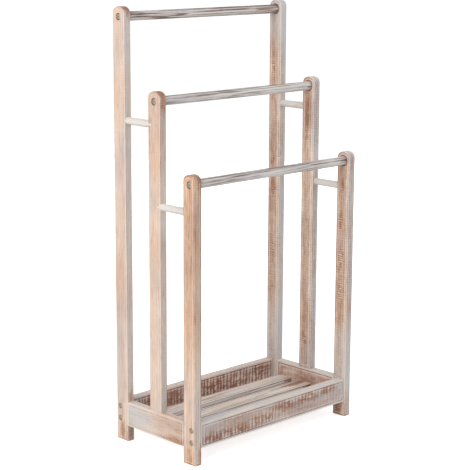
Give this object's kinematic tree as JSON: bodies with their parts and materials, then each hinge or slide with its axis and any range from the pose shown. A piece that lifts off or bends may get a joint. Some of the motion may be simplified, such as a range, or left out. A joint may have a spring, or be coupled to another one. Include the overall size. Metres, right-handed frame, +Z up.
{
  "type": "towel rack with shelf",
  "caption": "Free-standing stepped wooden towel rack with round rails over a low slatted tray shelf, in whitewashed pine.",
  "frame": {"origin": "on the floor, at the middle of the stand's footprint", "axes": "+X along the rails to the right, -Y towards the low front rail, +Z up"},
  "size_m": [0.466, 0.24, 0.9],
  "materials": {
    "whitewashed_post": "whitewashed pine, edges rubbed back",
    "streaked_rail": "grey-white wash streaked with dark brown along the grain",
    "pale_spacer": "creamy white wash",
    "sawn_board": "whitewash over rough-sawn brown pine with saw marks across",
    "washed_slat": "grey-beige wash",
    "zinc_steel": "zinc-plated screws",
    "bare_beech": "bare wood, hidden inside the joints"
  },
  "bodies": {
    "root": {"front_left_post": "whitewashed_post", "rear_left_post": "whitewashed_post", "middle_left_post": "whitewashed_post", "front_right_post": "whitewashed_post", "rear_right_post": "whitewashed_post", "middle_right_post": "whitewashed_post", "front_rail": "streaked_rail", "middle_rail": "streaked_rail", "rear_rail": "streaked_rail", "front_left_spacer": "pale_spacer", "rear_left_spacer": "pale_spacer", "front_right_spacer": "pale_spacer", "rear_right_spacer": "pale_spacer", "front_apron": "sawn_board", "rear_apron": "sawn_board", "left_apron": "sawn_board", "right_apron": "sawn_board", "shelf_slat_1": "washed_slat", "shelf_slat_2": "washed_slat", "shelf_slat_3": "washed_slat", "front_left_rail_screw": "zinc_steel", "front_left_apron_screw_1": "zinc_steel", "front_left_apron_screw_2": "zinc_steel", "rear_left_rail_screw": "zinc_steel", "rear_left_apron_screw_1": "zinc_steel", "rear_left_apron_screw_2": "zinc_steel", "middle_left_rail_screw": "zinc_steel", "front_right_rail_screw": "zinc_steel", "front_right_apron_screw_1": "zinc_steel", "front_right_apron_screw_2": "zinc_steel", "rear_right_rail_screw": "zinc_steel", "rear_right_apron_screw_1": "zinc_steel", "rear_right_apron_screw_2": "zinc_steel", "middle_right_rail_screw": "zinc_steel", "front_left_dowel_1": "bare_beech", "front_left_dowel_2": "bare_beech", "rear_left_dowel_1": "bare_beech", "rear_left_dowel_2": "bare_beech", "middle_left_dowel_1": "bare_beech", "middle_left_dowel_2": "bare_beech", "front_right_dowel_1": "bare_beech", "front_right_dowel_2": "bare_beech", "rear_right_dowel_1": "bare_beech", "rear_right_dowel_2": "bare_beech", "middle_right_dowel_1": "bare_beech", "middle_right_dowel_2": "bare_beech"}
  },
  "joints": []
}
